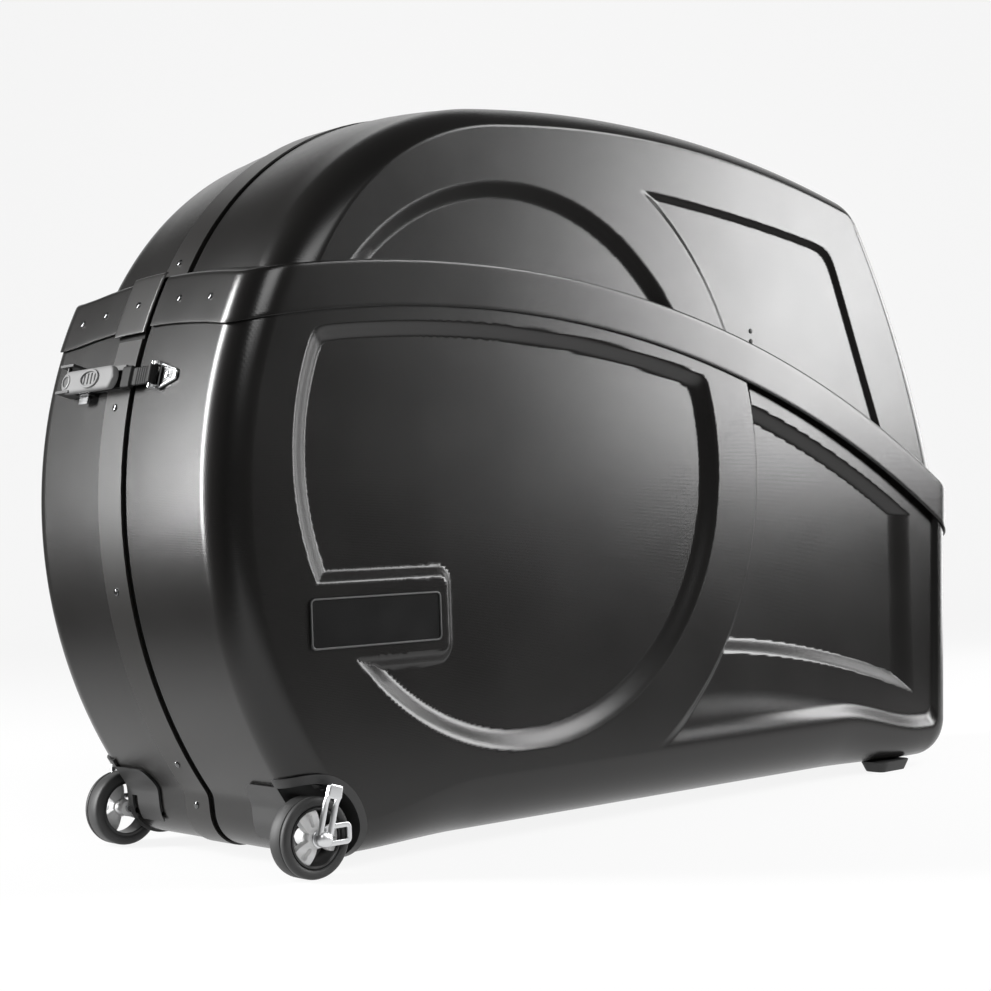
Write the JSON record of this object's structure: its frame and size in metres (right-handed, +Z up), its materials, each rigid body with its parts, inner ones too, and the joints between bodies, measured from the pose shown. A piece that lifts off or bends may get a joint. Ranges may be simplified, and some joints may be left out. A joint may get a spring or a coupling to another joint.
{
  "type": "bike travel case",
  "caption": "Hard-shell bike travel case in hinged halves with round side reliefs, a lapped band, ratchet latches, corner wheels, feet, a tow handle and a mounting rail inside.",
  "frame": {"origin": "on the floor under the middle of the case", "axes": "+X along the case away from its wheels, +Y across it towards the far half, +Z up"},
  "size_m": [1.3015, 0.4424, 0.9],
  "materials": {
    "shell": "fine embossed grain, semi-gloss",
    "seam_trim": "satin",
    "lip": "satin",
    "rivet": "satin black",
    "badge": "gloss",
    "housing": "satin",
    "tyre": "matt",
    "wheel_rim": "silver",
    "steel": "brushed",
    "foot": "matt",
    "hinge": "satin black",
    "latch": "satin grey",
    "strap": "satin",
    "handle": "satin black",
    "grip": "matt",
    "rail": "anodised",
    "carriage": "satin",
    "knob": "matt",
    "pad": "matt",
    "foam": "soft"
  },
  "bodies": {
    "far_half": {"far_lower_shell": "shell", "far_upper_shell": "shell", "lower_seam_strip": "seam_trim", "upper_seam_strip": "seam_trim", "band_tongues": "seam_trim", "lower_locating_lip": "lip", "upper_locating_lip": "lip", "far_rivets": "rivet", "far_badge_plate": "badge", "far_wheel_housing": "housing", "far_axle": "steel", "far_foot": "foot", "far_hinge_leaves": "hinge", "hinge_pins": "steel", "end_latch_buckle": "latch", "top_latch_buckle": "latch", "tow_handle_bosses": "handle", "base_rail": "rail", "far_foam_disc": "foam"},
    "near_half": {"near_lower_shell": "shell", "near_upper_shell": "shell", "near_rivets": "rivet", "near_badge_plate": "badge", "near_wheel_housing": "housing", "near_axle": "steel", "near_foot": "foot", "near_hinge_leaves": "hinge", "end_latch_strap": "strap", "end_latch_anchor_plate": "steel", "top_latch_strap": "strap", "top_latch_anchor_plate": "steel", "anchor_screws": "steel", "near_foam_disc": "foam"},
    "far_wheel": {"far_wheel_rim": "wheel_rim", "far_tyre": "tyre"},
    "near_wheel": {"near_wheel_rim": "wheel_rim", "near_tyre": "tyre"},
    "far_release_lever": {"far_quick_release": "steel"},
    "near_release_lever": {"near_quick_release": "steel"},
    "end_lever": {"end_latch_lever": "latch"},
    "end_tab": {"end_latch_release_tab": "steel"},
    "top_lever": {"top_latch_lever": "latch"},
    "top_tab": {"top_latch_release_tab": "steel"},
    "tow_handle": {"tow_handle_frame": "handle", "tow_handle_grip": "grip"},
    "fork_carriage": {"fork_mount": "carriage", "fork_axle": "steel"},
    "fork_knob": {"fork_mount_knob": "knob"},
    "cradle_carriage": {"frame_cradle": "carriage", "cradle_pad": "pad"},
    "cradle_knob": {"frame_cradle_knob": "knob"}
  },
  "joints": [
    {"name": "case_hinge", "type": "hinge", "parent": "far_half", "child": "near_half", "pos_m": [0.6465, -0.011, 0.2], "axis": [0, 0, 1], "range_deg": [0, 95]},
    {"name": "far_wheel_spin", "type": "hinge", "parent": "far_half", "child": "far_wheel", "pos_m": [-0.5315, 0.185, 0.0438], "axis": [0, 1, 0], "continuous": true},
    {"name": "near_wheel_spin", "type": "hinge", "parent": "near_half", "child": "near_wheel", "pos_m": [-0.5315, -0.185, 0.0438], "axis": [0, 1, 0], "continuous": true},
    {"name": "far_release", "type": "hinge", "parent": "far_half", "child": "far_release_lever", "pos_m": [-0.5315, 0.2152, 0.0438], "axis": [-0.9659, 0, 0.2588], "range_deg": [0, 110]},
    {"name": "near_release", "type": "hinge", "parent": "near_half", "child": "near_release_lever", "pos_m": [-0.5315, -0.2152, 0.0438], "axis": [0.9659, 0, -0.2588], "range_deg": [0, 110]},
    {"name": "end_latch_open", "type": "hinge", "parent": "far_half", "child": "end_lever", "pos_m": [-0.63474, 0.105, 0.54999], "axis": [-0.2697, 0, -0.9629], "range_deg": [0, 75]},
    {"name": "end_tab_lift", "type": "hinge", "parent": "far_half", "child": "end_tab", "pos_m": [-0.62842, 0.078, 0.53212], "axis": [0, 1, 0], "range_deg": [0, 35]},
    {"name": "top_latch_open", "type": "hinge", "parent": "far_half", "child": "top_lever", "pos_m": [0.15193, 0.105, 0.89048], "axis": [-0.9946, 0, 0.1041], "range_deg": [0, 75]},
    {"name": "top_tab_lift", "type": "hinge", "parent": "far_half", "child": "top_tab", "pos_m": [0.13537, 0.078, 0.88126], "axis": [0, 1, 0], "range_deg": [0, 35]},
    {"name": "tow_handle_swing", "type": "hinge", "parent": "far_half", "child": "tow_handle", "pos_m": [0.64585, 0.12, 0.286], "axis": [0, -1, 0], "range_deg": [0, 90]},
    {"name": "fork_slide", "type": "slide", "parent": "far_half", "child": "fork_carriage", "axis": [1, 0, 0], "range_m": [-0.1, 0.12]},
    {"name": "fork_knob_turn", "type": "hinge", "parent": "fork_carriage", "child": "fork_knob", "pos_m": [-0.19, 0.0873, 0.0357], "axis": [0, 1, 0], "continuous": true},
    {"name": "cradle_slide", "type": "slide", "parent": "far_half", "child": "cradle_carriage", "axis": [1, 0, 0], "range_m": [-0.12, 0.2]},
    {"name": "cradle_knob_turn", "type": "hinge", "parent": "cradle_carriage", "child": "cradle_knob", "pos_m": [0.19, 0.0873, 0.0357], "axis": [0, 1, 0], "continuous": true}
  ]
}
